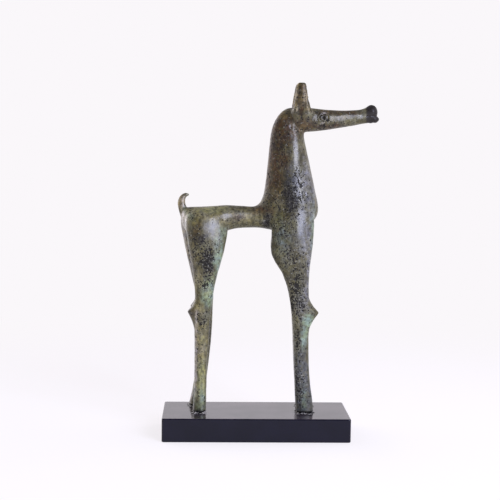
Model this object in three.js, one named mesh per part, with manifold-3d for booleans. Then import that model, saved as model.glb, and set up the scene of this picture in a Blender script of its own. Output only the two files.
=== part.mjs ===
// A slender bronze horse in the geometric style, cast in one piece and standing on a black stone plinth.
// Millimetres, +Z up. X runs from the tail to the muzzle and Y from the near side to the far side.
// The origin is the middle of the plinth's underside.
import * as THREE from "three";
import { mergeVertices } from "three/addons/utils/BufferGeometryUtils.js";
import Module from "manifold-3d";

const wasm = await Module();
wasm.setup();

// Driving sizes
const PLINTH = { length: 130, depth: 55, height: 16.5, corner: 1.6, arris: 0.7 };
const HORSE_HEIGHT = 230; // soles to the tips of the ears
const STANCE = 21; // middle of a near hoof to the middle of the far one
const SETBACK = 5; // the horse's middle stands this far behind the plinth's
const GLUE_LINE = 0.3; // the adhesive under each sole

// The tables below give the horse's form in millimetres for a horse 230 high. X and Z are measured
// from the middle of its footprint at the soles. Unit turns them into the real size.
const TABLE_HEIGHT = 230;
const unit = HORSE_HEIGHT / TABLE_HEIGHT;

// Height, back edge, front edge, offset from the middle as a share of half the stance, half thickness
const FRONT_LEG = {
  rings: [
    [0, 28.9, 40.1, 1, 4.2],
    [1, 28.4, 40.6, 1, 4.6],
    [9, 27.8, 39.9, 1, 4.3],
    [18, 27.4, 38.4, 1, 4.1],
    [34, 26.3, 37.1, 1, 4.0],
    [50, 25.6, 36.6, 1, 4.1],
    [60, 25.0, 36.6, 1, 4.4],
    [70.4, 24.1, 36.6, 1, 4.9],
    [80, 22.7, 36.4, 0.99, 4.9],
    [90, 20.4, 36.1, 0.98, 5.2],
    [98, 17.3, 36.4, 0.97, 5.6],
    [106, 12.0, 37.2, 0.95, 6.0],
    [111, 9.5, 37.9, 0.93, 6.3],
    [117, 8.8, 38.6, 0.91, 6.4],
    [124, 9.5, 39.1, 0.88, 6.5],
    [132, 9.3, 39.5, 0.84, 6.4],
    [139, 10.4, 39.2, 0.78, 6.0],
    [145, 13.0, 37.6, 0.68, 5.3],
    [150, 17.0, 35.0, 0.56, 4.4],
    [154, 21.5, 32.0, 0.45, 3.3],
    [156.5, 25.5, 29.5, 0.38, 2.0],
  ],
  spur: { height: 70.4, reach: 7.2, above: 10.5, below: 13, side: 1 },
};
const HIND_LEG = {
  rings: [
    [0, -43.9, -35.4, 1, 4.0],
    [1, -44.3, -34.9, 1, 4.3],
    [9, -43.6, -34.6, 1, 4.0],
    [22, -43.2, -34.5, 1, 3.9],
    [34, -43.3, -34.3, 1, 4.0],
    [46, -43.3, -33.5, 1, 4.1],
    [58, -43.4, -32.6, 1, 4.3],
    [70.7, -43.3, -32.0, 1, 4.7],
    [80, -43.2, -30.8, 0.99, 4.9],
    [90, -43.9, -29.2, 0.98, 5.3],
    [98, -45.0, -27.2, 0.97, 5.7],
    [106, -46.3, -24.9, 0.96, 6.2],
    [114, -47.8, -22.8, 0.93, 6.6],
    [122, -49.2, -21.3, 0.89, 6.8],
    [129, -50.4, -20.4, 0.83, 6.7],
    [134, -50.8, -20.5, 0.76, 6.2],
    [138, -50.0, -21.8, 0.66, 5.4],
    [141, -47.2, -24.2, 0.52, 4.1],
    [142.7, -43.5, -28.5, 0.36, 2.2],
  ],
  spur: { height: 70.7, reach: 5.3, above: 8.5, below: 13.5, side: -1 },
};
const SPUR_HOLLOW = 1.45; // 1 gives a spur straight flanks, and more hollows them
// How the far legs stray from the near ones, as the modeller left them. Drift is by height, forward.
// Spur is the share of the near leg's reach, and rise is how much higher it stands.
const NEAR = { drift: [[0, 0], [200, 0]], spur: 1, rise: 0 };
const FAR_FRONT = { drift: [[0, 1.1], [200, 1.1]], spur: 0.7, rise: 0 };
const FAR_HIND = {
  drift: [
    [0, -2.9],
    [12, -1.4],
    [21, 0],
    [30, 1.1],
    [41, 1.7],
    [58, 1.6],
    [76, 1.1],
    [90, -1.2],
    [106, -2.7],
    [122, -3.3],
    [134, -3.4],
    [145, -3.3],
  ],
  spur: 0.95,
  rise: 1.2,
};

// Each rib crosses the body from its upper line (back, nape) to its lower line (belly, chest, throat):
// forward and height on the upper line, the same on the lower line, half thickness, lean to the lower line
const BODY = [
  [-52.7, 139.0, -52.7, 132.5, 3.2, 0],
  [-51.3, 142.0, -51.3, 128.2, 6.6, 0],
  [-47, 143.1, -47, 123.0, 9.4, 0],
  [-39, 143.3, -39, 120.5, 11.2, 0],
  [-30, 143.9, -30, 122.0, 12.0, 0],
  [-24, 144.4, -24, 125.2, 11.7, 0],
  [-18, 144.4, -18, 127.5, 10.2, 0],
  [-11, 144.1, -11, 128.6, 8.5, 0],
  [-5, 143.7, -3, 128.9, 7.7, 0],
  [-1.4, 144.1, 4, 128.5, 8.3, 0.05],
  [1.4, 146.2, 11, 127.2, 9.5, 0.1],
  [3.1, 149.4, 20, 125.5, 10.8, 0.14],
  [4.1, 152.8, 29, 126.5, 11.9, 0.16],
  [4.8, 156.4, 36.5, 131.2, 12.7, 0.18],
  [5.3, 160.4, 41.7, 137.0, 13.2, 0.22],
  [5.8, 165.0, 42.6, 144.5, 13.0, 0.26],
  [6.4, 171.0, 40.6, 154.0, 12.2, 0.3],
  [7.0, 178.0, 38.1, 165.0, 11.2, 0.3],
  [7.6, 185.5, 35.4, 176.8, 10.1, 0.27],
  [8.2, 192.0, 33.2, 186.5, 9.1, 0.22],
  [9.2, 197.6, 31.9, 192.6, 8.3, 0.15],
  [11.4, 203.8, 31.9, 195.2, 7.6, 0.1],
  [15.3, 209.3, 30.8, 198.2, 6.2, 0],
  [19.8, 212.5, 29.0, 202.0, 4.4, 0],
  [23.5, 213.0, 28.0, 206.5, 2.2, 0],
];
// Distance forward, underside, top line, half width
const HEAD = [
  [19.8, 204.0, 209.5, 3.0],
  [21.0, 201.4, 211.8, 5.6],
  [23.4, 198.7, 213.1, 7.5],
  [27, 196.8, 213.6, 8.6],
  [33, 196.1, 213.2, 9.0],
  [38, 196.5, 212.8, 8.5],
  [44, 197.2, 212.1, 7.6],
  [50, 198.1, 211.7, 6.7],
  [57, 199.3, 211.5, 5.9],
  [66, 200.9, 211.7, 5.2],
  [71, 201.9, 212.2, 5.1],
  [75, 202.6, 213.6, 5.7],
  [78, 203.2, 214.4, 5.9],
  [80.5, 204.0, 213.4, 5.3],
  [81.8, 205.0, 211.6, 4.2],
];
// The flared muzzle ends in two lips with two beads under the lower one, each an ellipsoid: middle, then
// half length, half width, half height
const LIPS = [
  { at: [78.7, 0, 210.2], half: [4.5, 5.9, 5.6] },
  { at: [80.3, 0, 205.6], half: [4.1, 4.9, 2.4] },
  { at: [78.5, 0, 204.1], half: [1.5, 3.6, 1.4] },
  { at: [81.5, 0, 204.4], half: [1.7, 3.2, 1.4] },
];
const EYE = { forward: 45.1, height: 206.0, length: 2.9, drop: 2.3, groove: 0.5, pupil: 1.0, slant: 0.15 };
// Height, back edge, front edge, offset from the middle, half thickness
const EAR = [
  [201, 28.0, 34.5, 6.4, 1.2],
  [205, 24.9, 37.6, 6.7, 2.9],
  [209, 23.6, 38.4, 6.8, 3.5],
  [212.5, 23.4, 37.3, 6.7, 3.6],
  [216, 23.9, 35.9, 6.6, 3.4],
  [220, 24.5, 34.9, 6.4, 3.1],
  [224.2, 25.2, 33.8, 6.1, 2.7],
  [227.6, 25.8, 32.8, 5.9, 2.2],
  [229.2, 26.4, 32.3, 5.85, 1.8],
  [230, 27.6, 31.4, 5.8, 0.8],
];
const EAR_CUP = { wall: 0.9, from: 208.5, to: 228, depth: 3.6 };
// The far ear stands back from the near one at its root and forward of it at its tip
const FAR_EAR = { root: -0.6, tip: 0.1 };
// Distance forward, height, half thickness along the tail, from its root between the haunches
const TAIL = [
  [-48.6, 128.0, 2.2],
  [-50.3, 134.5, 3.0],
  [-52.2, 140.8, 3.1],
  [-53.3, 145.5, 2.8],
  [-52.6, 149.3, 2.3],
  [-50.4, 151.4, 1.5],
  [-47.9, 151.5, 0.6],
];
const TAIL_FLATNESS = 0.85; // width across the body for each unit of thickness
// Points round each section, and how square it is: 2 is an ellipse, and more is nearer a rectangle
const SECTION = {
  body: { points: 24, squareness: 2.15 },
  head: { points: 20, squareness: 2.2 },
  leg: { points: 16, squareness: 2.4 },
  ear: { points: 14, squareness: 2.2 },
  cup: { points: 12, squareness: 2 },
};

// Finish of the two pieces
const BRONZE = new THREE.MeshStandardMaterial({ color: 0x5a5a46, metalness: 0.75, roughness: 0.45 });
const STONE = new THREE.MeshStandardMaterial({ color: 0x1d1c20, metalness: 0, roughness: 0.2 });

// A smooth track through rows of numbers, the first of each row being the place along it.
function track(rows) {
  const places = rows.map((row) => row[0]);
  const values = rows.flatMap((row) => row.slice(1));
  const spline = new THREE.CubicInterpolant(places, values, rows[0].length - 1);
  return (place) => Array.from(spline.evaluate(place));
}

// Places from the first row to the last, with every row's own place among them. Step is the widest gap
// that is wanted at a place.
function placesAlong(rows, step) {
  const places = [rows[0][0]];
  for (let i = 1; i < rows.length; i++) {
    const [from, to] = [rows[i - 1][0], rows[i][0]];
    const parts = Math.ceil((to - from) / step((from + to) / 2));
    for (let part = 1; part <= parts; part++) places.push(from + ((to - from) * part) / parts);
  }
  return places;
}

// One point of a rounded section. Lean above 0 makes the section thicker towards angle 0.
function sectionPoint(angle, halfLong, halfWide, { squareness }, lean = 0) {
  const power = 2 / squareness;
  const along = Math.sign(Math.cos(angle)) * Math.abs(Math.cos(angle)) ** power;
  const across = Math.sign(Math.sin(angle)) * Math.abs(Math.sin(angle)) ** power;
  return [along * halfLong, across * halfWide * (1 + lean * along)];
}

function angles(count) {
  return Array.from({ length: count }, (_, i) => (2 * Math.PI * (i + 0.5)) / count);
}

// A closed skin over rings of equal count, shut at both ends by a fan round the end ring's middle.
// Each ring runs anticlockwise as seen from the ring after it.
function loft(rings) {
  const around = rings[0].length;
  const points = rings.flat();
  const index = [];
  for (let r = 0; r + 1 < rings.length; r++) {
    for (let i = 0; i < around; i++) {
      const [a, b] = [r * around + i, r * around + ((i + 1) % around)];
      index.push(a, b, b + around, a, b + around, a + around);
    }
  }
  for (const [first, turn] of [[0, -1], [(rings.length - 1) * around, 1]]) {
    const middle = points.length;
    const ring = points.slice(first, first + around);
    points.push(ring.reduce((sum, p) => sum.add(p), new THREE.Vector3()).divideScalar(around));
    for (let i = 0; i < around; i++) {
      const pair = [first + i, first + ((i + 1) % around)];
      if (turn < 0) pair.reverse();
      index.push(middle, ...pair);
    }
  }
  return new THREE.BufferGeometry().setFromPoints(points).setIndex(index);
}

// Rings at level heights, for a leg or an ear. Shape returns [x, y] for an angle at a height.
function uprightLoft(heights, count, shape) {
  return loft(
    heights.map((height) =>
      angles(count).map((angle) => new THREE.Vector3(...shape(angle, height), height)),
    ),
  );
}

// Rings square to X, for the head, from its underside, top line and half width.
function levelLoft(rows, step, section) {
  const at = track(rows);
  return loft(
    placesAlong(rows, () => step).map((forward) => {
      const [under, top, half] = at(forward);
      return angles(section.points).map((angle) => {
        const [y, z] = sectionPoint(angle, half, (top - under) / 2, section);
        return new THREE.Vector3(forward, y, (top + under) / 2 + z);
      });
    }),
  );
}

// How far a hock or knee stands out above or below its point: hollow flanks that meet in the point.
function spurAt(spur, over) {
  const run = over > 0 ? spur.above : spur.below;
  return spur.reach * Math.max(0, 1 - Math.abs(over) / run) ** SPUR_HOLLOW;
}

// Side is -1 for a near leg and 1 for a far one.
function leg({ rings, spur }, side, stray) {
  const point = spur.height + stray.rise;
  const rows = rings.map(([height, ...rest]) => [height === spur.height ? point : height, ...rest]);
  const at = track(rows);
  const drift = track(stray.drift);
  const halfStance = STANCE / 2 / unit;
  const step = (height) => (Math.abs(height - point) < spur.below ? 3.6 : 8);
  return uprightLoft(placesAlong(rows, step), SECTION.leg.points, (angle, height) => {
    const [back, front, offset, half] = at(height);
    const [x, y] = sectionPoint(angle, (front - back) / 2, half, SECTION.leg);
    const nose = Math.max(0, spur.side * Math.cos(angle)) ** 2;
    const reach = nose * stray.spur * spurAt(spur, height - point);
    const [forward] = drift(height);
    return [(front + back) / 2 + x + spur.side * reach + forward, side * halfStance * offset + y];
  });
}

// Rump, barrel, chest and neck in one sweep. The ribs stand upright along the barrel and turn level up
// the neck.
function body() {
  const at = track(BODY.map((rib, i) => [i, ...rib]));
  const rings = placesAlong(BODY.map((rib, i) => [i]), () => 0.5).map((place) => {
    const [upperX, upperZ, lowerX, lowerZ, half, lean] = at(place);
    const middle = new THREE.Vector3((upperX + lowerX) / 2, 0, (upperZ + lowerZ) / 2);
    const down = new THREE.Vector3(lowerX - upperX, 0, lowerZ - upperZ);
    const halfLength = down.length() / 2;
    down.normalize();
    return angles(SECTION.body.points).map((angle) => {
      const [along, across] = sectionPoint(angle, halfLength, half, SECTION.body, lean);
      return middle.clone().addScaledVector(down, along).setY(across);
    });
  });
  return loft(rings);
}

// The leaf of an ear, less the cup in its front.
function ear(side, { root, tip } = { root: 0, tip: 0 }) {
  const at = track(EAR);
  const [foot, top] = [EAR[0][0], EAR.at(-1)[0]];
  const lean = (height) => THREE.MathUtils.mapLinear(height, foot, top, root, tip);
  const leaf = uprightLoft(placesAlong(EAR, () => 4.3), SECTION.ear.points, (angle, height) => {
    const [back, front, offset, half] = at(height);
    const [x, y] = sectionPoint(angle, (front - back) / 2, half, SECTION.ear);
    return [(front + back) / 2 + x + lean(height), side * offset + y];
  });
  const { wall, from, to, depth } = EAR_CUP;
  const slices = 8;
  const heights = Array.from({ length: slices }, (_, i) => from + ((to - from) * (i + 0.5)) / slices);
  const cup = uprightLoft(heights, SECTION.cup.points, (angle, height) => {
    const [, front, offset, half] = at(height);
    const swell = Math.sin((Math.PI * (height - from)) / (to - from)) ** 0.6;
    const [x, y] = sectionPoint(angle, depth * swell, (half - wall) * swell, SECTION.cup);
    return [front + lean(height) + x, side * offset + y];
  });
  return solidOf(leaf).subtract(solidOf(cup));
}

// The tail is swept along its curl with rings square to the path.
function tail() {
  const path = new THREE.CatmullRomCurve3(TAIL.map(([x, z]) => new THREE.Vector3(x, 0, z)));
  const thickness = track(TAIL.map(([, , half], i) => [i / (TAIL.length - 1), half]));
  const steps = 2 * (TAIL.length - 1);
  const across = new THREE.Vector3(0, 1, 0);
  const rings = [];
  for (let i = 0; i <= steps; i++) {
    const share = i / steps;
    const [half] = thickness(share);
    const outward = new THREE.Vector3().crossVectors(across, path.getTangent(share));
    rings.push(
      angles(12).map((angle) =>
        path
          .getPoint(share)
          .addScaledVector(outward, half * Math.cos(angle))
          .addScaledVector(across, -half * TAIL_FLATNESS * Math.sin(angle)),
      ),
    );
  }
  return loft(rings.map((ring) => ring.reverse()));
}

function lip({ at, half }) {
  return new THREE.SphereGeometry(1, 16, 11).scale(...half).translate(...at);
}

// An incised ring with a punched pupil, cut into one side of the head.
function eyeCut(side) {
  const [, , half] = track(HEAD)(EYE.forward);
  const place = [EYE.forward, side * half, EYE.height];
  const ring = new THREE.TorusGeometry(EYE.length, EYE.groove, 6, 18)
    .scale(1, EYE.drop / EYE.length, 1)
    .rotateX(Math.PI / 2)
    .rotateZ(-side * EYE.slant);
  const pupil = new THREE.SphereGeometry(EYE.pupil, 10, 7);
  return solidOf(ring.translate(...place)).add(solidOf(pupil.translate(...place)));
}

function solidOf(geometry) {
  geometry.deleteAttribute("normal");
  geometry.deleteAttribute("uv");
  const merged = mergeVertices(geometry, 1e-4);
  const mesh = new wasm.Mesh({
    numProp: 3,
    vertProperties: new Float32Array(merged.attributes.position.array),
    triVerts: new Uint32Array(merged.index.array),
  });
  return new wasm.Manifold(mesh);
}

function geometryOf(solid) {
  const { vertProperties, triVerts } = solid.getMesh();
  const geometry = new THREE.BufferGeometry();
  geometry.setAttribute("position", new THREE.BufferAttribute(vertProperties, 3));
  geometry.setIndex(new THREE.BufferAttribute(triVerts, 1));
  geometry.computeVertexNormals();
  return geometry;
}

function horseGeometry() {
  const fused = [
    body(),
    levelLoft(HEAD, 5, SECTION.head),
    leg(FRONT_LEG, -1, NEAR),
    leg(FRONT_LEG, 1, FAR_FRONT),
    leg(HIND_LEG, -1, NEAR),
    leg(HIND_LEG, 1, FAR_HIND),
    tail(),
    ...LIPS.map(lip),
  ]
    .map(solidOf)
    .concat(ear(-1), ear(1, FAR_EAR))
    .reduce((sum, solid) => sum.add(solid));
  return geometryOf(fused.subtract(eyeCut(-1)).subtract(eyeCut(1))).scale(unit, unit, unit);
}

// A block with rounded corners in plan and a fine arris round its top and bottom faces.
function plinthGeometry() {
  const { length, depth, height, corner, arris } = PLINTH;
  const [halfX, halfY, radius] = [length / 2 - arris, depth / 2 - arris, corner - arris];
  const plan = new THREE.Shape()
    .moveTo(-halfX + radius, -halfY)
    .lineTo(halfX - radius, -halfY)
    .absarc(halfX - radius, -halfY + radius, radius, -Math.PI / 2, 0)
    .absarc(halfX - radius, halfY - radius, radius, 0, Math.PI / 2)
    .absarc(-halfX + radius, halfY - radius, radius, Math.PI / 2, Math.PI)
    .absarc(-halfX + radius, -halfY + radius, radius, Math.PI, 1.5 * Math.PI);
  return new THREE.ExtrudeGeometry(plan, {
    depth: height - 2 * arris,
    bevelThickness: arris,
    bevelSize: arris,
    bevelSegments: 2,
    curveSegments: 4,
  }).translate(0, 0, arris);
}

const horse = new THREE.Mesh(horseGeometry(), BRONZE);
horse.name = "horse";
horse.position.set(0, SETBACK, PLINTH.height + GLUE_LINE);

const plinth = new THREE.Mesh(plinthGeometry(), STONE);
plinth.name = "plinth";

const statuette = new THREE.Group();
statuette.add(plinth, horse);

export default statuette;
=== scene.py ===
import math

import bmesh
import bpy
import numpy as np
from mathutils import Matrix, Vector, noise


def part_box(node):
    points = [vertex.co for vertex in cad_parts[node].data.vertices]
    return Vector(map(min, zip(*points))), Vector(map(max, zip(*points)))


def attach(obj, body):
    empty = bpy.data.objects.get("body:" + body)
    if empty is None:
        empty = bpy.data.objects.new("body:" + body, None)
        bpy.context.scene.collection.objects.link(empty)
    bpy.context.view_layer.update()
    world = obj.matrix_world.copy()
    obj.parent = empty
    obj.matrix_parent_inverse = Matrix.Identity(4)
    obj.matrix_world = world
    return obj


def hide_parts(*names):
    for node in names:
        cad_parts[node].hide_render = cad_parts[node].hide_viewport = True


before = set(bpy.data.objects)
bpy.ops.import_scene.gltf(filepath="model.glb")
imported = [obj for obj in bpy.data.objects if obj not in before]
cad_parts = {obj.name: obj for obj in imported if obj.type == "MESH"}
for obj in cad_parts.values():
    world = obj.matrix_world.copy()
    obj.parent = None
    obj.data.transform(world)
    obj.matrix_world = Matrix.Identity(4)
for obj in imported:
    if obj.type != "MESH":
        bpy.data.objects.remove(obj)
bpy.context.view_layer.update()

# The casting. The real horse is one bronze, cast whole from a wax model, then filed and punched.
# A fine skin is shrunk over the faceted solid and eased, so that its facets and the joins between
# the limbs melt away as they do in wax, while the spurs, ears, lips and soles stay crisp.
MM = 0.001
# Points closer than this are one.
SAME_POINT = 0.005 * MM
SKIN_GRAIN = 0.38 * MM
# How far each pass of the easing draws a point towards its neighbours, and how many passes there are
EASING_SHARE = 0.6
EASING_PASSES = 70
MOST_TRIANGLES = 195_000
# Places that stay crisp: forward and up in millimetres, how far the crispness reaches, and how
# much of it there is. It is whole out to the core's share of its reach.
CRISP_CORE = 0.6
CRISP = [
    (32, 240, 13, 0.93),
    (31, 224, 7, 0.8),
    (46, 222.5, 6, 0.6),
    (80, 224, 8, 0.75),
    (-50, 166, 9, 0.8),
    (43, 87.2, 5, 0.85),
    (-47, 87.5, 5, 0.85),
]
# How high the soles lie, in millimetres, then how far above them their crispness starts to fade and is
# gone, and how much of it there is
SOLE_HEIGHT = 16.8
SOLE_CRISP = (0.5, 3.0, 0.9)


def mesh_points(mesh):
    points = np.empty(len(mesh.vertices) * 3)
    mesh.vertices.foreach_get("co", points)
    return points.reshape(-1, 3)


def mesh_normals(mesh):
    normals = np.empty(len(mesh.vertices) * 3)
    mesh.vertex_normals.foreach_get("vector", normals)
    return normals.reshape(-1, 3)


def mesh_edges(mesh):
    edges = np.empty(len(mesh.edges) * 2, dtype=np.int64)
    mesh.edges.foreach_get("vertices", edges)
    return edges.reshape(-1, 2)


def with_modifiers(piece):
    """The piece's mesh as its modifiers leave it, and the modifiers gone."""
    depsgraph = bpy.context.evaluated_depsgraph_get()
    finished = bpy.data.meshes.new_from_object(piece.evaluated_get(depsgraph))
    piece.modifiers.clear()
    old = piece.data
    piece.data = finished
    bpy.data.meshes.remove(old)
    return piece.data


def eased(values, edges, ease, passes):
    """Values at the points of a net, each drawn towards the mean of its neighbours."""
    count = len(values)
    first, second = edges.T
    valence = np.bincount(edges.ravel(), minlength=count)
    for _ in range(passes):
        means = np.empty_like(values)
        for axis in range(3):
            column = values[:, axis]
            total = np.bincount(first, column[second], count) + np.bincount(second, column[first], count)
            means[:, axis] = total / valence
        values = values + ease[:, None] * (means - values)
    return values


def rise(low, high, values):
    """0 below low, 1 above high, and a smooth slope between."""
    share = np.clip((values - low) / (high - low), 0, 1)
    return share * share * (3 - 2 * share)


horse_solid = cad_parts["horse"]
horse = bpy.data.objects.new("bronze_horse", horse_solid.data.copy())
bpy.context.collection.objects.link(horse)
shell = bmesh.new()
shell.from_mesh(horse.data)
bmesh.ops.remove_doubles(shell, verts=shell.verts, dist=SAME_POINT)
shell.to_mesh(horse.data)
shell.free()
remesh = horse.modifiers.new("skin", "REMESH")
remesh.mode = "VOXEL"
remesh.voxel_size = SKIN_GRAIN
skin = with_modifiers(horse)

points = mesh_points(skin) / MM
edges = mesh_edges(skin)
fades_from, fades_to, sole_crispness = SOLE_CRISP
crispness = sole_crispness * (1 - rise(SOLE_HEIGHT + fades_from, SOLE_HEIGHT + fades_to, points[:, 2]))
for forward, up, reach, amount in CRISP:
    distance = np.hypot(points[:, 0] - forward, points[:, 2] - up)
    crispness = np.maximum(crispness, amount * (1 - rise(CRISP_CORE * reach, reach, distance)))
ease = EASING_SHARE * (1 - crispness)
# Easing alone would thin the legs, so what it takes off over a wide area is put back.
settled = eased(points, edges, ease, EASING_PASSES)
settled += eased(points - settled, edges, ease, EASING_PASSES)
skin.vertices.foreach_set("co", (settled * MM).ravel())
skin.update()

# The worked surface. The modeller pressed and pared the wax, so the flanks swell and fall away, and
# cut a ringed eye and a jaw line. File and punch left dents. Corrosion since then has eaten pits and
# worm tracks that crowd together in patches, and the dark patina lies in the same hollows.

# How wide the hand's waves and the tools' dents are, and how high they stand, in millimetres
WAVES = (6.5, 0.1)
DENTS = (2.4, 0.045)
# Forward and up in millimetres, reach each way, and how far the flank stands out or sinks
SWELLS = [
    (-41.0, 146.0, 7.5, 14.0, 1.7),
    (-33.0, 153.0, 6.0, 3.5, 0.5),
    (-21.5, 147.0, 7.0, 12.0, -1.1),
    (21.5, 191.0, 5.5, 12.0, 0.9),
    (31.5, 191.0, 5.0, 12.0, -0.7),
    (23.5, 170.0, 5.5, 14.0, 0.8),
    (34.5, 170.0, 5.0, 14.0, -0.9),
    (25.0, 146.0, 6.0, 14.0, 0.7),
    (36.5, 146.0, 6.0, 14.0, -0.8),
    (77.0, 224.0, 5.5, 6.0, -1.2),
    (60.0, 224.0, 6.0, 6.0, 0.3),
    (52.0, 218.5, 9.0, 4.0, 0.55),
    (70.0, 221.0, 6.0, 4.0, 0.4),
    (31.5, 173.0, 6.0, 7.0, -0.45),
    (31.5, 161.0, 6.0, 7.0, 0.45),
    (27.6, 242.0, 1.4, 3.5, -0.55),
    (26.9, 237.0, 1.4, 3.5, -0.45),
    (27.8, 228.0, 2.0, 6.0, -0.9),
    (33.4, 231.0, 1.5, 8.0, 0.4),
]
# Where the tool marks are deeper: places and reach as above, and how many times their depth is added
HACKED = [
    (20.0, 215.0, 7.0, 8.0, 6.0),
    (19.0, 203.0, 5.0, 8.0, 4.5),
    (30.5, 236.0, 3.0, 7.0, 2.0),
    (37.0, 221.0, 6.0, 5.0, 3.5),
]
# Where pits crowd: forward and up in millimetres, how far they reach each way, and how thick they lie
PITTED = [
    (-34.5, 122.5, 6, 10, 1.25),
    (-41.0, 139.0, 6, 6, 0.6),
    (-43.0, 126.0, 4, 10, 0.35),
    (-36.3, 106.4, 3.0, 4.0, 0.95),
    (25.7, 100.0, 6, 22, 1.0),
    (23.3, 165.8, 8, 14, 0.85),
    (28.3, 68.4, 4, 9, 0.8),
    (-39.3, 82.0, 3.5, 5, 0.65),
    (-41.5, 62.0, 2.5, 20, 0.25),
    (6.5, 151.0, 3.0, 4, 0.9),
    (30.2, 167.3, 3, 7, 0.8),
    (16.0, 207.0, 6, 14, 0.25),
    (30.3, 236.0, 1.6, 3, 0.3),
    (31.3, 95.0, 3, 5, 1.0),
    (29.5, 38.0, 5, 18, 0.75),
    (42.0, 217.0, 10, 3, 0.6),
    (36.0, 220.5, 4, 4, 0.5),
    (24.0, 128.0, 7, 10, 0.6),
    (17.0, 148.0, 8, 10, 0.4),
]
PIT_DEPTH = 0.22
# Pits lie where two sizes of lumps stand highest: how wide these are in millimetres, and how much
# each counts
WIDE_POCKS = (2.1, 0.62)
SMALL_POCKS = (1.15, 0.5)
# How high the lumps have to stand, how far full crowding lowers that, how crowded the pits are away
# from the places above, and how much higher still a pit has its whole depth
PIT_LEVEL = 0.5
CROWDING_LOWERS = 0.42
LEAST_CROWDING = 0.1
PIT_WALL = 0.18
# Where worm tracks run, as for the pits
TRACKED = [
    (29.0, 179.0, 5, 14, 1.0),
    (20.0, 204.0, 7, 12, 0.35),
    (6.5, 150.0, 3, 6, 0.6),
    (-34.0, 120.0, 4, 7, 0.6),
    (27.0, 106.0, 5, 14, 0.6),
]
TRACK_DEPTH = 0.22
# How far apart the tracks' turns and the breaks in them lie, in millimetres
WORM_TURNS = 3.4
WORM_BREAKS = 5.0
# How near its middle a track is whole and where its side ends, how strong a patch keeps its tracks from
# breaking, over what slope they break off, and between which strengths of a patch they fade in
TRACK_SIDES = (0.03, 0.11)
UNBROKEN_FROM = 0.45
BREAK_SLOPE = 0.3
TRACKS_FADE = (0.2, 0.5)
# The eye: an oval ring with a slit pupil, and a raised lid round it. The widths of ring and lid, and
# how far out the lid lies, are shares of the eye's half size.
EYE = (45.1, 222.8)
EYE_HALF = (2.9, 2.3)
RING_WIDTH = 0.17
RING_DEPTH = 0.26
LID_OUT = 1.36
LID_WIDTH = 0.2
LID_HEIGHT = 0.2
PUPIL = (0.5, 1.7)
PUPIL_DEPTH = 0.45
# How dark the eye's ring is made, in broken lumps, and how strong the painted shade along the jaw line is;
# how wide the ring's lumps are in millimetres, and how low a lump leaves a gap and how high it leaves none
RING_DARKENING = 0.9
JAW_PAINTED_SHADE = 0.35
RING_LUMP_SIZE = 1.6
RING_LUMP_GAPS = (-0.3, 0.2)
# The jaw line, the mouth and the crease before the shoulder: points forward and up, half width, and
# depth
JAW_LINE = ([(21.7, 227.5), (22.8, 222.6), (25.2, 217.8), (28.0, 213.6)], 0.8, 0.35)
MOUTH = ([(75.0, 224.4), (83.0, 224.4)], 0.5, 0.45)
SHOULDER_CREASE = ([(3.5, 156.5), (5.5, 150.0), (8.6, 144.0)], 1.6, 0.4)
# How far the surface faces sideways where the flank's marks start, and where they are whole
FLANK_TURN = (0.3, 0.8)
# The soles stay flat, and the relief is whole this many millimetres above them.
RELIEF_ABOVE = 1.5
# The most that a patch's edge wanders, in millimetres, and as a share of its reach
MOST_FRAY = 2.0
FRAY_SHARE = 0.35


def noise_at(places, size, seed):
    """Soft noise from -1 to 1 at each place, with lumps of about a size, all in millimetres."""
    offset = np.array([seed * 17.3, seed * 5.1, seed * 11.7])
    return np.fromiter((noise.noise(p) for p in (places / size + offset).tolist()), float, len(places))


def bell(places, forward, up, reach, height):
    """1 at a place on the flanks and fading round it, on the near side and the far one alike."""
    away = ((places[:, 0] - forward) / reach) ** 2 + ((places[:, 2] - up) / height) ** 2
    return np.exp(-away)


def patches(places, rows, wander=0.0):
    """How strongly each place lies in the patches. A wander from -1 to 1 frays them, the small ones less."""
    strongest = np.zeros(len(places))
    for forward, up, reach, height, amount in rows:
        wandering = places + min(MOST_FRAY, FRAY_SHARE * reach) * wander
        strongest = np.maximum(strongest, amount * bell(wandering, forward, up, reach, height))
    return strongest


def groove(places, course, half_width):
    """1 on a course drawn over the flanks, and fading to each side of it."""
    nearest = np.full(len(places), np.inf)
    flat = places[:, [0, 2]]
    for start, end in zip(course, course[1:]):
        start = np.array(start)
        run = np.array(end) - start
        share = np.clip((flat - start) @ run / (run @ run), 0, 1)
        nearest = np.minimum(nearest, np.linalg.norm(flat - start - share[:, None] * run, axis=1))
    return np.exp(-((nearest / half_width) ** 2))


points = mesh_points(skin) / MM
normals = mesh_normals(skin)
flank = rise(*FLANK_TURN, np.abs(normals[:, 1]))
relief = WAVES[1] * noise_at(points, WAVES[0], 1)
relief += DENTS[1] * noise_at(points, DENTS[0], 2) * (1 + patches(points, HACKED))
for forward, up, reach, height, amount in SWELLS:
    relief += amount * flank * bell(points, forward, up, reach, height)

pocks = WIDE_POCKS[1] * noise_at(points, WIDE_POCKS[0], 3)
pocks += SMALL_POCKS[1] * noise_at(points, SMALL_POCKS[0], 4)
crowding = LEAST_CROWDING + patches(points, PITTED)
pits = rise(0.0, PIT_WALL, pocks - PIT_LEVEL + CROWDING_LOWERS * crowding)
worming = np.abs(noise_at(points, WORM_TURNS, 9))
tracked = patches(points, TRACKED)
unbroken = rise(0.0, BREAK_SLOPE, noise_at(points, WORM_BREAKS, 10) + tracked - UNBROKEN_FROM)
tracks = (1 - rise(*TRACK_SIDES, worming)) * unbroken
tracks *= rise(*TRACKS_FADE, tracked)

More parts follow.
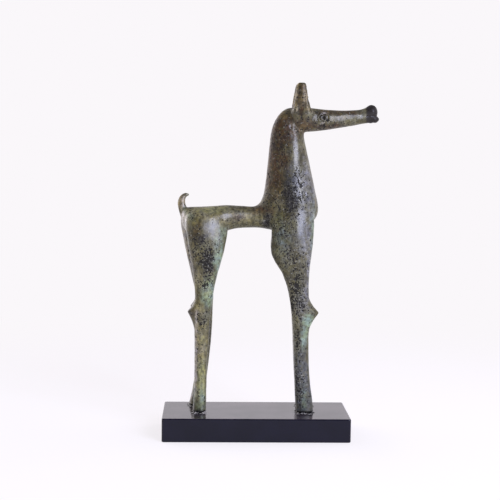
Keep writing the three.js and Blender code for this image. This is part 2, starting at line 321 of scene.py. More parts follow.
across = (points[:, 0] - EYE[0]) / EYE_HALF[0]
upward = (points[:, 2] - EYE[1]) / EYE_HALF[1]
eye_radius = np.hypot(across, upward)
ring = np.exp(-(((eye_radius - 1) / RING_WIDTH) ** 2))
lid = np.exp(-(((eye_radius - LID_OUT) / LID_WIDTH) ** 2))
slit_across = (points[:, 0] - EYE[0]) / PUPIL[0]
slit_upward = (points[:, 2] - EYE[1]) / PUPIL[1]
pupil = np.exp(-(slit_across**2) - slit_upward**4)
jaw = groove(points, JAW_LINE[0], JAW_LINE[1])
mouth = groove(points, MOUTH[0], MOUTH[1])
crease = groove(points, SHOULDER_CREASE[0], SHOULDER_CREASE[1])
relief += flank * (LID_HEIGHT * lid - RING_DEPTH * ring - PUPIL_DEPTH * pupil)
relief -= flank * (JAW_LINE[2] * jaw + MOUTH[2] * mouth + SHOULDER_CREASE[2] * crease)
relief -= PIT_DEPTH * pits + TRACK_DEPTH * tracks
ring_darkening = RING_DARKENING * flank * ring * rise(*RING_LUMP_GAPS, noise_at(points, RING_LUMP_SIZE, 12))
# The jaw line's share of the hollows is painted shade along its groove; the ring's share darkens the eye's
# ring in broken lumps.
hollows = np.max([pits, tracks, flank * pupil, ring_darkening, JAW_PAINTED_SHADE * flank * jaw], axis=0)
above_soles = rise(SOLE_HEIGHT, SOLE_HEIGHT + RELIEF_ABOVE, points[:, 2])
moved = points + normals * (relief * above_soles)[:, None]
skin.vertices.foreach_set("co", (moved * MM).ravel())


def keep_field(mesh, name, values):
    field = mesh.attributes.new(name, "FLOAT", "POINT")
    field.data.foreach_set("value", values)


keep_field(skin, "hollows", hollows)
skin.update()
thin = horse.modifiers.new("thin", "DECIMATE")
thin.ratio = min(1.0, MOST_TRIANGLES / (2 * len(skin.polygons)))
skin = with_modifiers(horse)
skin.shade_smooth()
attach(horse, "root")
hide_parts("horse")

# The patina. Bronze that was browned, then greened with copper salts and waxed: thin olive over the
# metal, brown and ochre where it is rubbed, umber and black in the hollows, and pale verdigris in
# soft patches. The wax is a faint gloss over all of it.

# Each tone has its colour, then where it lies: forward and up in millimetres, how far it reaches each
# way, and how strong it is. A tone covers those before it.
TONES = {
    "olive": (
        "#837c5e",
        [
            (-35.0, 157.0, 17, 6, 1.0),
            (-46.0, 152.0, 6, 9, 0.55),
            (-22.0, 152.0, 6, 8, 0.6),
            (-8.0, 154.5, 16, 7, 0.75),
            (-43.0, 128.0, 5, 12, 0.45),
            (-41.0, 110.0, 4, 12, 0.7),
            (-41.0, 90.0, 6, 7, 0.8),
            (-39.0, 66.0, 5, 18, 1.0),
            (-38.5, 36.0, 5, 20, 0.6),
            (14.0, 160.0, 6, 8, 0.45),
        ],
    ),
    "fern": (
        "#8a8a5b",
        [
            (-38.0, 40.0, 3.5, 16, 1.0),
            (-38.0, 68.0, 2.5, 6, 0.5),
            (-34.5, 100.0, 5, 8, 0.5),
            (-46.0, 153.0, 5, 6, 0.5),
            (-34.0, 158.5, 15, 3.5, 0.75),
            (14.0, 153.0, 5, 8, 0.4),
            (18.0, 136.0, 7, 12, 0.45),
        ],
    ),
    "brown": (
        "#412d1b",
        [
            (8.0, 194.0, 13, 32, 1.0),
            (16.0, 192.0, 6, 14, 0.9),
            (16.0, 214.0, 13, 14, 1.0),
            (30.0, 238.0, 8, 16, 0.75),
            (30.5, 217.5, 8, 6, 1.0),
            (54.0, 227.0, 22, 2.6, 0.85),
            (48.0, 216.5, 20, 3.5, 0.9),
            (3.0, 159.0, 8, 4, 0.9),
            (-14.0, 153.5, 5, 4, 0.7),
            (28.5, 227.5, 2.4, 6, 1.0),
            (30.1, 244.0, 3, 2.5, 1.0),
            (-43.0, 143.0, 6, 8, 0.55),
            (-46.0, 122.0, 4, 14, 0.5),
            (-45.0, 86.0, 5, 6, 0.6),
            (-42.5, 62.0, 2, 20, 0.5),
        ],
    ),
    "slate": (
        "#4c4f57",
        [
            (24.0, 174.0, 7, 20, 0.8),
            (30.0, 150.0, 4, 24, 0.7),
            (30.5, 42.0, 7, 24, 1.0),
            (32.0, 22.0, 9, 10, 0.9),
            (18.0, 138.0, 10, 16, 0.6),
            (38.0, 165.0, 3, 22, 0.7),
            (31.5, 82.0, 5, 9, 0.5),
            (-36.0, 133.0, 6, 12, 0.25),
            (38.0, 30.0, 3, 18, 0.8),
            (31.0, 100.0, 6, 16, 0.4),
            (6.5, 149.0, 3, 8, 0.7),
            (-33.0, 122.0, 4, 8, 0.5),
        ],
    ),
    "ochre": (
        "#7c6a3c",
        [
            (-39.0, 62.0, 4, 10, 0.35),
            (14.2, 170.6, 4, 6, 0.35),
            (9.0, 186.0, 4, 9, 0.3),
            (-0.1, 157.3, 4, 3, 0.5),
            (30.0, 216.0, 5, 5, 0.4),
            (-41.0, 149.0, 6, 6, 0.35),
            (16.0, 224.0, 4, 4, 0.5),
            (30.5, 238.0, 5, 11, 0.4),
            (52.0, 228.0, 20, 1.8, 0.4),
        ],
    ),
    # Pale verdigris patina in soft patches; its narrow rows down the thigh's front edge and the breast's
    # right edge also paint the reflection of the right-hand wall.
    "verdigris_and_painted_sheen": (
        "#829582",
        [
            (-27.5, 124.0, 4, 18, 0.75),
            (-33.0, 100.0, 6, 12, 0.9),
            (-24.0, 142.0, 4, 8, 0.5),
            (36.0, 81.5, 4.5, 6, 1.1),
            (33.2, 71.5, 2.8, 10, 0.9),
            (-51.4, 158.3, 2.5, 4, 0.7),
            (-47.5, 154.0, 3, 5, 0.4),
            (-37.5, 26.0, 3.5, 10, 0.6),
            (33.5, 26.0, 3, 11, 0.55),
            (-39.5, 21.0, 3, 5, 0.6),
            (-25.5, 118.0, 2, 24, 0.9),
            (15.5, 140.0, 8, 18, 0.3),
            (38.0, 142.0, 2.8, 26, 0.6),
            (-43.5, 30.0, 2.5, 12, 0.6),
        ],
    ),
    # A sandy patina on the tail, barrel and hind knee; its narrow rows on the ear's rims are painted rim
    # light, and the row along the muzzle tints its highlight band warm, a painted part of that highlight.
    "sand_and_painted_rim_light": (
        "#94876b",
        [
            (-53.2, 164.5, 4, 8, 1.0),
            (33.0, 236.0, 1.8, 8, 0.45),
            (33.0, 229.0, 1.8, 6, 0.45),
            (30.8, 237.0, 3.0, 9, 0.5),
            (26.4, 243.5, 0.9, 4, 1.0),
            (25.5, 238.0, 1.0, 4, 1.0),
            (24.8, 233.0, 1.1, 4, 1.0),
            (25.9, 229.5, 0.7, 3.5, 1.0),
            (-25.0, 151.0, 5, 6, 0.3),
            (-35.0, 103.0, 5, 8, 0.35),
            (55.0, 223.0, 13, 3.0, 0.35),
        ],
    ),
    # Painted highlights: the pale strips down the back edge of the haunch and hind leg and on the ear's left
    # rim are painted reflections of the bright left wall, and the two flecks by the eye are painted glints on
    # its lids.
    "painted_rim_highlight": (
        "#a19a92",
        [
            (23.2, 231.0, 1.0, 3, 0.8),
            (45.2, 226.5, 2.5, 0.7, 0.7),
            (44.0, 219.2, 2.8, 0.7, 0.7),
            (-52.2, 151.0, 1.9, 8, 1.0),
            (-51.4, 140.5, 1.9, 8, 1.0),
            (-49.4, 129.0, 1.7, 8, 1.0),
            (-47.0, 116.0, 1.5, 8, 1.0),
            (-44.8, 103.0, 1.3, 8, 1.0),
            (-42.2, 78.0, 1.2, 12, 1.0),
            (-42.4, 60.0, 1.2, 14, 1.0),
            (-42.4, 42.0, 1.2, 14, 1.0),
            (-45.5, 28.0, 1.8, 14, 1.0),
        ],
    ),
    # A grey patina, the bronze's own on the elbow; its strips down the breast's right edge and the legs' back
    # edges are painted reflections of the white walls.
    "grey_and_painted_sheen": (
        "#737378",
        [
            (33.5, 180.0, 3.5, 16, 0.8),
            (36.0, 160.0, 4.5, 16, 0.6),
            (34.8, 138.0, 4, 18, 0.7),
            (36.0, 120.0, 3, 24, 0.8),
            (35.0, 104.0, 2.5, 12, 0.8),
            (30.0, 92.0, 7, 16, 0.4),
            (8.5, 136.0, 2.0, 10, 0.5),
            (-51.0, 147.0, 2.2, 13, 0.5),
            (-46.5, 110.0, 3, 20, 0.6),
            (-43.5, 50.0, 1.5, 36, 0.5),
            (26.0, 50.0, 1.5, 30, 0.4),
        ],
    ),
    # Dark umber patina in patches; its rows in the crease before the shoulder, at the ear's base, along the
    # far ear behind the near one and between the hind legs are painted shade.
    "umber_and_painted_shade": (
        "#1d1814",
        [
            (6.4, 149.5, 2.6, 7, 1.0),
            (22.0, 169.0, 5.5, 14, 0.8),
            (-40.0, 138.5, 6, 5, 0.8),
            (-34.0, 121.0, 5, 8, 0.65),
            (-37.0, 127.0, 5, 10, 0.4),
            (27.0, 174.0, 3.5, 14, 0.5),
            (10.5, 132.6, 2.0, 10, 0.5),
            (28.0, 40.0, 3, 26, 0.5),
            (29.0, 224.0, 2.2, 3.5, 0.6),
            (27.8, 230.5, 1.1, 3.5, 0.3),
            (27.7, 241.0, 0.9, 3.5, 0.7),
            (24.5, 242.0, 0.7, 2.5, 0.9),
            (23.6, 238.6, 0.7, 2.5, 1.0),
            (22.9, 235.6, 0.7, 2.0, 1.0),
            (45.1, 222.8, 3.2, 2.6, 0.75),
            (45.0, 217.8, 12, 2.2, 0.35),
            (-32.6, 70.0, 0.8, 12, 0.9),
            (13.0, 206.0, 8, 14, 0.45),
            (-46.5, 86.5, 2.5, 3, 0.6),
        ],
    ),
}
# How far forward the lips' black crust starts and is whole, and how far up the painted shadow at the bottom
# of the soles starts to end and is gone, in millimetres
LIPS_FROM = (73.9, 75.4)
SOLE_SHADOW_TO = (SOLE_HEIGHT + 1.1, SOLE_HEIGHT + 1.7)
# Lumps that fray the patches, and finer ones that mottle their edges, in millimetres
FRAY_SIZE = 5.0
MOTTLE_SIZE = 2.2
# How strong a patch is where its tone starts to show and where it is whole, and how much the mottle
# counts in that
TONE_SHOWS = (0.1, 0.9)
TONE_MOTTLE = 0.2
# How far the mottle moves the edge of the lips' crust, and of the soles' painted shadow, in millimetres
LIPS_MOTTLE = 0.8
SOLE_SHADOW_MOTTLE = 0.3
# Where the wax lies thick enough to shine, as for the tones
WAXED = [
    (-32.0, 147.0, 5.5, 9, 1.0),
    (-20.5, 154.5, 4, 3, 0.9),
    (-7.5, 154.5, 3.5, 2.5, 0.6),
    (25.5, 198.0, 4.5, 12, 0.95),
    (30.0, 176.0, 5, 18, 0.7),
    (31.5, 148.0, 5.5, 18, 0.9),
    (57.0, 224.0, 13, 4, 0.7),
    (70.0, 224.5, 5, 3.5, 0.7),
    (38.0, 223.0, 5, 4, 0.4),
    (22.0, 217.0, 4, 4, 0.5),
    (22.5, 107.0, 2.5, 14, 0.8),
    (26.0, 60.0, 1.8, 40, 0.9),
    (78.0, 226.0, 4, 3, 0.5),
    (-37.0, 50.0, 4, 30, 0.4),
    (32.0, 60.0, 4, 40, 0.5),
    (-51.0, 145.0, 4, 22, 1.0),
    (-47.0, 105.0, 3, 24, 1.0),
    (-44.5, 50.0, 2.5, 40, 1.0),
    (-26.0, 115.0, 4, 30, 1.0),
    (38.0, 155.0, 4.5, 45, 0.45),
]


def linear(hex_colour):
    """An sRGB hex colour as the linear RGBA that a shader takes."""
    channels = [int(hex_colour[i : i + 2], 16) / 255 for i in (1, 3, 5)]
    return [c / 12.92 if c <= 0.04045 else ((c + 0.055) / 1.055) ** 2.4 for c in channels] + [1.0]


def add(tree, kind, inputs=None, out=None, **settings):
    """Adds a node and gives its output, the first in use unless it is named. A socket given for an
    input is linked, and any other value is set."""
    node = tree.nodes.new(kind)
    for name, value in settings.items():
        setattr(node, name, value)
    for key, value in (inputs or {}).items():
        named = [socket for socket in node.inputs if socket.enabled and socket.name == key]
        socket = named[0] if named else node.inputs[key]
        if isinstance(value, bpy.types.NodeSocket):
            tree.links.new(value, socket)
        else:
            socket.default_value = value
    return node.outputs[out] if out else next((socket for socket in node.outputs if socket.enabled), None)


def bare_material(name):
    """A new material and its node tree, which is empty."""
    material = bpy.data.materials.new(name)
    material.use_nodes = True
    material.node_tree.nodes.clear()
    return material, material.node_tree


points = mesh_points(skin) / MM
wander = np.stack([noise_at(points, FRAY_SIZE, seed) for seed in (5, 6, 7)], axis=1)
mottle = noise_at(points, MOTTLE_SIZE, 8)
keep_field(skin, "pitted", patches(points, PITTED, wander))
keep_field(skin, "waxed", patches(points, WAXED, wander))
for name, (_, rows) in TONES.items():
    keep_field(skin, name, rise(*TONE_SHOWS, patches(points, rows, wander) + TONE_MOTTLE * mottle))
keep_field(skin, "lips", rise(*LIPS_FROM, points[:, 0] + LIPS_MOTTLE * mottle))
keep_field(skin, "painted_sole_shadow", 1 - rise(*SOLE_SHADOW_TO, points[:, 2] + SOLE_SHADOW_MOTTLE * mottle))

patina, tree = bare_material("patinated_bronze")
place = add(tree, "ShaderNodeTexCoord", out="Object")
# Lumps of about 8, 4, 1.8 and 2.2 millimetres: clouds in the patina, its shifts of hue, its mottle and
# its grain, which runs a little up and down
clouds = add(tree, "ShaderNodeTexNoise", {"Vector": place, "Scale": 1 / (8 * MM), "Detail": 3.0})
hue = add(tree, "ShaderNodeTexNoise", {"Vector": place, "Scale": 1 / (4 * MM), "Detail": 4.0})
mottle = add(tree, "ShaderNodeTexNoise", {"Vector": place, "Scale": 1 / (1.8 * MM), "Detail": 3.0})
streaked = add(tree, "ShaderNodeMapping", {"Vector": place, "Scale": (1.0, 1.0, 0.6)})
grain = add(
    tree,
    "ShaderNodeTexNoise",
    {"Vector": streaked, "Scale": 1 / (2.2 * MM), "Detail": 4.0, "Roughness": 0.65},
)
cloudy = add(tree, "ShaderNodeMapRange", {"Value": clouds, "From Min": 0.4, "From Max": 0.62})
ground = {"Factor": cloudy, "A": linear("#464128"), "B": linear("#615e46")}
colour = add(tree, "ShaderNodeMix", ground, data_type="RGBA")
for name, (tint, _) in TONES.items():
    field = add(tree, "ShaderNodeAttribute", out="Fac", attribute_name=name)
    spread = {"Value": mottle, "From Min": 0.15, "From Max": 0.62, "To Min": 0.0, "To Max": field}
    amount = add(tree, "ShaderNodeMapRange", spread, interpolation_type="SMOOTHSTEP")
    colour = add(tree, "ShaderNodeMix", {"Factor": amount, "A": colour, "B": linear(tint)}, data_type="RGBA")
cooler = add(tree, "ShaderNodeMapRange", {"Value": hue, "From Min": 0.36, "From Max": 0.64})
shift = {"Factor": cooler, "A": (1.06, 1.02, 0.78, 1.0), "B": (0.97, 0.98, 1.1, 1.0)}
shifted = add(tree, "ShaderNodeMix", shift, data_type="RGBA")
colour = add(tree, "ShaderNodeVectorMath", {0: colour, 1: shifted}, operation="MULTIPLY")
# The grain darkens and lightens every tone, but the salts of the verdigris have filled it.
verdigris_and_painted_sheen = add(tree, "ShaderNodeAttribute", out="Fac", attribute_name="verdigris_and_painted_sheen")
darkest = add(tree, "ShaderNodeMapRange", {"Value": verdigris_and_painted_sheen, "To Min": 0.62, "To Max": 0.8})
lightest = add(tree, "ShaderNodeMapRange", {"Value": verdigris_and_painted_sheen, "To Min": 1.38, "To Max": 1.18})
grading = {"Value": grain, "From Min": 0.38, "From Max": 0.62, "To Min": darkest, "To Max": lightest}
shade = add(tree, "ShaderNodeMapRange", grading, interpolation_type="SMOOTHSTEP")
colour = add(tree, "ShaderNodeVectorMath", {0: colour, "Scale": shade}, operation="SCALE")
# Where pits crowd, pale crystals of about 1.3 mm stand between them, and pinholes of 1.1 mm that are too fine
# for the skin hold a black crust, as its own hollows do. Along the jaw line this darkening of the hollows is
# painted shade.
pitted = add(tree, "ShaderNodeAttribute", out="Fac", attribute_name="pitted")
crystals = add(tree, "ShaderNodeTexNoise", {"Vector": place, "Scale": 1 / (1.3 * MM), "Detail": 1.0})
risen = {0: pitted, 1: 0.1, 2: crystals}
grown = add(tree, "ShaderNodeMath", risen, operation="MULTIPLY_ADD")
pale = add(tree, "ShaderNodeMapRange", {"Value": grown, "From Min": 0.66, "From Max": 0.76, "To Max": 0.45})
colour = add(tree, "ShaderNodeMix", {"Factor": pale, "A": colour, "B": linear("#a3a198")}, data_type="RGBA")
hollows = add(tree, "ShaderNodeAttribute", out="Fac", attribute_name="hollows")
crust_and_jaw_shade_level = add(tree, "ShaderNodeMath", {0: grain, 1: 0.5, 2: hollows}, operation="MULTIPLY_ADD")
crust_and_jaw_shade = add(tree, "ShaderNodeMapRange", {"Value": crust_and_jaw_shade_level, "From Min": 0.5, "From Max": 0.8})
far_grain = add(tree, "ShaderNodeMapping", {"Vector": place, "Location": (0.3, 0.7, 0.5)})
pinholes = add(tree, "ShaderNodeTexNoise", {"Vector": far_grain, "Scale": 1 / (1.1 * MM), "Detail": 1.5})
waxed = add(tree, "ShaderNodeAttribute", out="Fac", attribute_name="waxed")
pricked = pinholes
for field, share in ((pitted, 0.16), (clouds, 0.3), (waxed, -0.1)):
    pricked = add(tree, "ShaderNodeMath", {0: field, 1: share, 2: pricked}, operation="MULTIPLY_ADD")
pricks = add(tree, "ShaderNodeMapRange", {"Value": pricked, "From Min": 0.765, "From Max": 0.805})
pits = add(tree, "ShaderNodeMath", {0: crust_and_jaw_shade, 1: pricks}, operation="MAXIMUM")
pits_shown = add(tree, "ShaderNodeMath", {0: pits, 1: 0.96}, operation="MULTIPLY")
lips = add(tree, "ShaderNodeAttribute", out="Fac", attribute_name="lips")
painted_sole_shadow = add(tree, "ShaderNodeAttribute", out="Fac", attribute_name="painted_sole_shadow")
# The bottom of each foot is painted near black, a painted contact shadow under the soles.
for tint, amount in (("#130e09", pits_shown), ("#1d1512", lips), ("#060505", painted_sole_shadow)):
    colour = add(tree, "ShaderNodeMix", {"Factor": amount, "A": colour, "B": linear(tint)}, data_type="RGBA")
lips_dull = add(tree, "ShaderNodeMath", {0: lips, 1: 0.6}, operation="MULTIPLY")
dull = add(tree, "ShaderNodeMath", {0: pits, 1: lips_dull}, operation="MAXIMUM")
buffed = {"Value": mottle, "From Min": 0.3, "From Max": 0.7, "To Min": 0.42, "To Max": 0.55}
smoothness = add(tree, "ShaderNodeMapRange", buffed)
rough = add(tree, "ShaderNodeMath", {0: dull, 1: 0.25, 2: smoothness}, operation="MULTIPLY_ADD")
grain_height = add(tree, "ShaderNodeMath", {0: pits, 1: -1.0, 2: grain}, operation="MULTIPLY_ADD")
grain_bump = add(tree, "ShaderNodeBump", {"Height": grain_height, "Strength": 0.5, "Distance": 0.3 * MM})
# The wax bridges the grain, but not the pits.
wax_height = add(tree, "ShaderNodeMath", {0: pits, 1: -1.0}, operation="MULTIPLY")
wax_bump = add(tree, "ShaderNodeBump", {"Height": wax_height, "Strength": 0.4, "Distance": 0.15 * MM})
wax_lying = add(tree, "ShaderNodeMapRange", {"Value": waxed, "To Min": 0.1, "To Max": 1.0})
wax = add(tree, "ShaderNodeMapRange", {"Value": dull, "To Min": wax_lying, "To Max": 0.08})
shader = add(
    tree,
    "ShaderNodeBsdfPrincipled",
    {
        "Base Color": colour,
        "Metallic": 0.2,
        "Roughness": rough,
        "Normal": grain_bump,
        "Coat Weight": wax,
        "Coat Roughness": 0.2,
        "Coat Normal": wax_bump,
    },
)
add(tree, "ShaderNodeOutputMaterial", {"Surface": shader})
skin.materials.clear()
skin.materials.append(patina)

# The glue. Each foot is stuck down with a clear resin, which squeezed out from under the sole and set in a
# ragged rim. Its colour is painted light and shade: pale painted glints and dark painted shade, mixed by
# noise.
GLUE_SPREAD = (2.6 * MM, 5.0 * MM)
GLUE_HEIGHT = 0.6 * MM
GLUE_CELL = 0.25 * MM
# The rim starts at this share of the sole's half size. How full it is there, how much it thins by the
# end of its spread, and how much its lumps count
GLUE_STARTS = 0.75
GLUE_FILL = 0.8
GLUE_THINNING = 1.1
GLUE_RAGGED = 0.9
# With less fill than this the rim breaks off, and what is left is at least this full.
GLUE_GONE = 0.05
GLUE_THINNEST = 0.3
# How wide its lumps are, the large and the small, and how much the small ones count
GLUE_LUMPS = (2.6 * MM, 1.1 * MM)
SMALL_LUMPS = 0.6
# A point of the horse this little above its soles still belongs to them.
SOLE_SLACK = 0.1 * MM


def piece_of(shape, name):
    """A new object whose mesh is the shape, which is used up."""
    mesh = bpy.data.meshes.new(name)
    shape.to_mesh(mesh)
    shape.free()
    piece = bpy.data.objects.new(name, mesh)
    bpy.context.collection.objects.link(piece)
    return piece


plinth_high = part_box("plinth")[1]
plinth_top = plinth_high[2]
solid_points = mesh_points(horse_solid.data)
on_soles = solid_points[solid_points[:, 2] < SOLE_HEIGHT * MM + SOLE_SLACK]
middle = (on_soles.min(axis=0) + on_soles.max(axis=0)) / 2
glue_shape = bmesh.new()
for front in (False, True):
    for far in (False, True):
        chosen = ((on_soles[:, 0] > middle[0]) == front) & ((on_soles[:, 1] > middle[1]) == far)
        foot_low, foot_high = on_soles[chosen].min(axis=0), on_soles[chosen].max(axis=0)
        foot = (foot_low + foot_high) / 2
        half = (foot_high - foot_low) / 2
        reach = half[:2] + GLUE_SPREAD
        cells = [math.ceil(2 * side / GLUE_CELL) for side in reach]
        patch = bmesh.ops.create_grid(glue_shape, x_segments=cells[0], y_segments=cells[1], size=1.0)["verts"]
        bmesh.ops.scale(glue_shape, verts=patch, vec=(reach[0], reach[1], 1.0))
        bmesh.ops.translate(glue_shape, verts=patch, vec=(foot[0], foot[1], plinth_top))
        bare = []
        for vert in patch:
            past = []
            for axis in (0, 1):
                from_foot = abs(vert.co[axis] - foot[axis]) / half[axis]
                past.append((from_foot - GLUE_STARTS) * half[axis] / GLUE_SPREAD[axis])
            beyond = Vector([max(0.0, side) for side in past]).length
            lumps = noise.noise(vert.co / GLUE_LUMPS[0])
            lumps += SMALL_LUMPS * noise.noise(vert.co / GLUE_LUMPS[1])
            fill = GLUE_FILL - GLUE_THINNING * beyond + GLUE_RAGGED * lumps
            if beyond > 0 and fill < GLUE_GONE:
                bare.append(vert)
            vert.co.z += min(1.0, max(GLUE_THINNEST, fill)) * GLUE_HEIGHT
        bmesh.ops.delete(glue_shape, geom=bare, context="VERTS")
loose = [vert for vert in glue_shape.verts if not vert.link_faces]
bmesh.ops.delete(glue_shape, geom=loose, context="VERTS")
underside = bmesh.ops.extrude_face_region(glue_shape, geom=glue_shape.faces[:], use_keep_orig=True)["geom"]
for vert in [item for item in underside if isinstance(item, bmesh.types.BMVert)]:
    vert.co.z = plinth_top
bmesh.ops.recalc_face_normals(glue_shape, faces=glue_shape.faces[:])
glue = piece_of(glue_shape, "glue_rims")
glue.data.shade_smooth()
resin, tree = bare_material("clear_resin_painted_glints_and_shade")
place = add(tree, "ShaderNodeTexCoord", out="Object")
light_and_shade_noise = add(tree, "ShaderNodeTexNoise", {"Vector": place, "Scale": 1 / (1.6 * MM), "Detail": 3.0})
painted_shade_share = add(tree, "ShaderNodeMapRange", {"Value": light_and_shade_noise, "From Min": 0.46, "From Max": 0.54})
# Pale is a painted glint and dark is painted shade.
tints = {"Factor": painted_shade_share, "A": linear("#bcb7b0"), "B": linear("#1c1a1a")}
colour = add(tree, "ShaderNodeMix", tints, data_type="RGBA")
shader = add(tree, "ShaderNodeBsdfPrincipled", {"Base Color": colour, "Roughness": 0.18, "IOR": 1.5})
add(tree, "ShaderNodeOutputMaterial", {"Surface": shader})
glue.data.materials.append(resin)
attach(glue, "root")

# The plinth. A slab of fine black stone, sawn, with its faces ground and polished and its arrises just broken
# by hand. Wax and a little dust film its top, and handling has rubbed the corners pale. The dust's pinkish
# grey on the top is also a painted part of the polished top's sheen.

# How far in from an edge the wear starts and is whole, then the middle and half size of the stain by
# the front foot
EDGE_WEAR = (1.2 * MM, 0.2 * MM)
STAIN_AT = (43.5 * MM, -18.7 * MM, plinth_top)
STAIN_HALF = (2.4 * MM, 0.9 * MM, 1 * MM)
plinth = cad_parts["plinth"]
stone, tree = bare_material("polished_black_stone")
place = add(tree, "ShaderNodeTexCoord", out="Object")
normal = add(tree, "ShaderNodeTexCoord", out="Normal")
upward = add(tree, "ShaderNodeSeparateXYZ", {"Vector": normal}, out="Z")
veil = add(tree, "ShaderNodeTexNoise", {"Vector": place, "Scale": 1 / (14 * MM), "Detail": 4.0})
scuffs = add(
    tree,
    "ShaderNodeTexNoise",
    {"Vector": place, "Scale": 1 / (2 * MM), "Detail": 4.0, "Roughness": 0.7},
)
veins = add(tree, "ShaderNodeMapRange", {"Value": veil, "From Min": 0.4, "From Max": 0.6})
tints = {"Factor": veins, "A": linear("#06061b"), "B": linear("#0a0a20")}
colour = add(tree, "ShaderNodeMix", tints, data_type="RGBA")
dust_and_sheen_amount = add(tree, "ShaderNodeMapRange", {"Value": veil, "From Min": 0.35, "From Max": 0.65, "To Min": 0.2})
dust_and_sheen_amount = add(tree, "ShaderNodeMath", {0: dust_and_sheen_amount, 1: 0.5}, operation="MULTIPLY")
facing_up = {"Value": upward, "From Min": 0.5, "From Max": 0.95}
dust_and_painted_sheen = add(tree, "ShaderNodeMapRange", {**facing_up, "To Max": dust_and_sheen_amount})
film = add(tree, "ShaderNodeMapRange", {**facing_up, "To Max": 0.3})
# Where the top faces up it is tinted pinkish grey: dust, and also a painted part of the polished top's
# reflected sheen.
colour = add(tree, "ShaderNodeMix", {"Factor": dust_and_painted_sheen, "A": colour, "B": linear("#756a6c")}, data_type="RGBA")
centred = {"Vector": place, "Location": STAIN_AT, "Scale": STAIN_HALF}
on_stain = add(tree, "ShaderNodeMapping", centred, vector_type="TEXTURE")
from_stain = add(tree, "ShaderNodeVectorMath", {0: on_stain}, out="Value", operation="LENGTH")
ragged = add(tree, "ShaderNodeMath", {0: scuffs, 1: 2.0, 2: from_stain}, operation="MULTIPLY_ADD")
stain = add(tree, "ShaderNodeMapRange", {"Value": ragged, "From Min": 2.0, "From Max": 1.5})
colour = add(tree, "ShaderNodeMix", {"Factor": stain, "A": colour, "B": linear("#2a1416")}, data_type="RGBA")
sized = add(tree, "ShaderNodeVectorMath", {0: place}, operation="ABSOLUTE")
out_from_middle = add(tree, "ShaderNodeSeparateXYZ", {"Vector": sized}).node.outputs
wear = {}
for axis, half in (("X", plinth_high[0]), ("Y", plinth_high[1]), ("Z", plinth_top)):
    from_edge = {"From Min": half - EDGE_WEAR[0], "From Max": half - EDGE_WEAR[1]}
    wear[axis] = add(tree, "ShaderNodeMapRange", {"Value": out_from_middle[axis], **from_edge})
corners = add(tree, "ShaderNodeMath", {0: wear["X"], 1: wear["Y"]}, operation="MULTIPLY")
ends = add(tree, "ShaderNodeMath", {0: wear["X"], 1: wear["Z"]}, operation="MULTIPLY")
worn = add(tree, "ShaderNodeMath", {0: corners, 1: ends}, operation="MAXIMUM")
patchy = {"Value": scuffs, "From Min": 0.45, "From Max": 0.65, "To Max": worn}
rubbed = add(tree, "ShaderNodeMapRange", patchy)
colour = add(tree, "ShaderNodeMix", {"Factor": rubbed, "A": colour, "B": linear("#4a4240")}, data_type="RGBA")
buffed = {"Value": veil, "From Min": 0.3, "From Max": 0.7, "To Min": 0.08, "To Max": 0.16}
polish = add(tree, "ShaderNodeMapRange", buffed)
shader = add(
    tree,
    "ShaderNodeBsdfPrincipled",
    {"Base Color": colour, "Roughness": polish, "IOR": 1.36, "Coat Weight": film, "Coat Roughness": 0.1},
)
add(tree, "ShaderNodeOutputMaterial", {"Surface": shader})
plinth.data.materials.clear()
plinth.data.materials.append(stone)

# The studio: a white floor, one tall softbox to the right of the camera, and white walls to the left,
# right and behind, which the polished stone and the waxed edges pick up.
FLOOR_SPAN = 6.0
BACKDROP = linear("#faf7fa")
# How much the paper glows near the object, and how far out it starts to glow more and does so fully
NEAR_GLOW = 0.79
GLOWS_FROM = 0.2
GLOWS_BY = 0.6
floor_shape = bmesh.new()
bmesh.ops.create_grid(floor_shape, x_segments=2, y_segments=2, size=FLOOR_SPAN / 2)
floor = piece_of(floor_shape, "floor")
# The paper is lit evenly from all round, so it glows by itself, and the key's shadows on it stay faint.
paper, tree = bare_material("white_paper")
place = add(tree, "ShaderNodeTexCoord", out="Object")
matte = add(tree, "ShaderNodeBsdfDiffuse", {"Color": linear("#959395")})
even = add(tree, "ShaderNodeEmission", {"Color": BACKDROP, "Strength": NEAR_GLOW})
near = add(tree, "ShaderNodeAddShader", {0: matte, 1: even})
glow = add(tree, "ShaderNodeEmission", {"Color": BACKDROP, "Strength": 1.0})
away = add(tree, "ShaderNodeVectorMath", {0: place}, out="Value", operation="LENGTH")
outward = {"Value": away, "From Min": GLOWS_FROM, "From Max": GLOWS_BY}
far = add(tree, "ShaderNodeMapRange", outward, interpolation_type="SMOOTHSTEP")
blend = add(tree, "ShaderNodeMixShader", {0: far, 1: near, 2: glow})
add(tree, "ShaderNodeOutputMaterial", {"Surface": blend})
floor.data.materials.append(paper)

# How bright the room is all round, by the turn from the camera in degrees, right being positive. The
# camera's side is dark, and a white wall stands to each side, the left one nearer a window.
ROOM = [
    (-180, 0.95),
    (-165, 0.95),
    (-155, 3.0),
    (-105, 3.0),
    (-85, 1.0),
    (-70, 0.08),
    (72, 0.08),
    (82, 0.9),
    (94, 2.1),
    (124, 2.1),
    (142, 0.95),
    (180, 0.95),
]
BRIGHTEST = max(brightness for _, brightness in ROOM)
world = bpy.data.worlds.new("studio")
bpy.context.scene.world = world
world.use_nodes = True
tree = world.node_tree
tree.nodes.clear()
direction = add(tree, "ShaderNodeTexCoord", out="Generated")
axes = add(tree, "ShaderNodeSeparateXYZ", {"Vector": direction}).node.outputs
ahead = add(tree, "ShaderNodeMath", {0: axes["Y"], 1: -1.0}, operation="MULTIPLY")
turn = add(tree, "ShaderNodeMath", {0: axes["X"], 1: ahead}, operation="ARCTAN2")
around = {"Value": turn, "From Min": -math.pi, "From Max": math.pi}
share_round = add(tree, "ShaderNodeMapRange", around)
walls = add(tree, "ShaderNodeFloatCurve", {"Value": share_round})
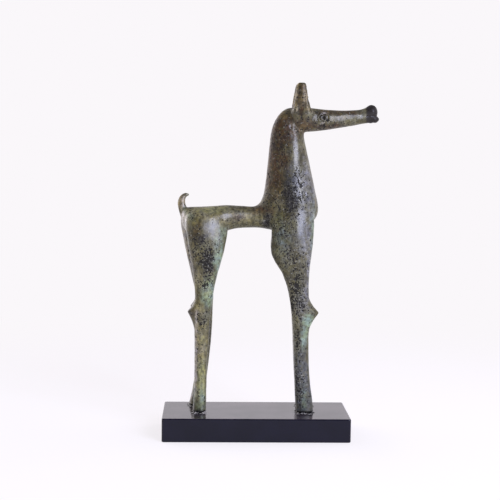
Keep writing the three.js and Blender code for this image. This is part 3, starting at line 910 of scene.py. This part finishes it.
curve = walls.node.mapping.curves[0]
curve.points[0].location = (0.0, ROOM[0][1] / BRIGHTEST)
curve.points[1].location = (1.0, ROOM[-1][1] / BRIGHTEST)
for degrees, brightness in ROOM[1:-1]:
    curve.points.new((degrees + 180) / 360, brightness / BRIGHTEST)
for point in curve.points:
    point.handle_type = "VECTOR"
walls.node.mapping.update()
overhead = {"Value": axes["Z"], "From Min": 0.3, "From Max": 0.8, "To Min": 1.0, "To Max": 0.3}
ceiling = add(tree, "ShaderNodeMapRange", overhead, interpolation_type="SMOOTHSTEP")
evenly = add(tree, "ShaderNodeMath", {0: walls, 1: ceiling}, operation="MULTIPLY")
surround = add(tree, "ShaderNodeMath", {0: evenly, 1: BRIGHTEST}, operation="MULTIPLY")
seen = add(tree, "ShaderNodeLightPath", out="Is Camera Ray")
room = add(tree, "ShaderNodeBackground", {"Color": linear("#f9f4fb"), "Strength": surround})
view = add(tree, "ShaderNodeBackground", {"Color": BACKDROP, "Strength": 1.0})
both = add(tree, "ShaderNodeMixShader", {0: seen, 1: room, 2: view})
add(tree, "ShaderNodeOutputWorld", {"Surface": both})

# The softbox, a tall rectangle that faces the horse's middle from the right of the camera and a little
# above it. It is the only lamp, and its cool light draws the pale bands down the flanks.
KEY_TURN = math.radians(33)
KEY_CLIMB = math.radians(20)
KEY_DISTANCE = 1.1
KEY_WIDTH = 0.55
KEY_HEIGHT = 0.85
KEY_WATTS = 14
KEY_AIM = Vector((0, 0, 0.13))
level = math.cos(KEY_CLIMB)
toward = Vector((math.sin(KEY_TURN) * level, -math.cos(KEY_TURN) * level, math.sin(KEY_CLIMB)))
lamp = bpy.data.lights.new("key", "AREA")
lamp.shape = "RECTANGLE"
lamp.size = KEY_WIDTH
lamp.size_y = KEY_HEIGHT
lamp.energy = KEY_WATTS
lamp.color = linear("#dfe3ff")[:3]
key = bpy.data.objects.new("key", lamp)
bpy.context.collection.objects.link(key)
facing = toward.to_track_quat("Z", "Y").to_matrix().to_4x4()
key.matrix_world = Matrix.Translation(KEY_AIM + toward * KEY_DISTANCE) @ facing

# The camera stands where the photo's did: a little left of the middle and above the horse's back,
# turned a touch right, tipped down, and rolled a hair. The angles are in radians.
CAMERA_AT = Vector((-33.43, -798.66, 197.71)) * MM
CAMERA_TURN = 0.0355
CAMERA_TIP = -0.0842
CAMERA_ROLL = 0.0124
PHOTO_WIDTH = 500
FOCAL_PIXELS = 1146.6
SENSOR_WIDTH = 36.0
NEAREST_SEEN = 10 * MM
lens = bpy.data.cameras.new("camera")
lens.sensor_width = SENSOR_WIDTH
lens.lens = SENSOR_WIDTH * FOCAL_PIXELS / PHOTO_WIDTH
lens.clip_start = NEAREST_SEEN
camera = bpy.data.objects.new("camera", lens)
bpy.context.collection.objects.link(camera)
aim = Matrix.Rotation(-CAMERA_TURN, 4, "Z") @ Matrix.Rotation(math.pi / 2 + CAMERA_TIP, 4, "X")
camera.matrix_world = Matrix.Translation(CAMERA_AT) @ aim @ Matrix.Rotation(CAMERA_ROLL, 4, "Z")
bpy.context.scene.camera = camera
bpy.context.scene.view_settings.view_transform = "Standard"
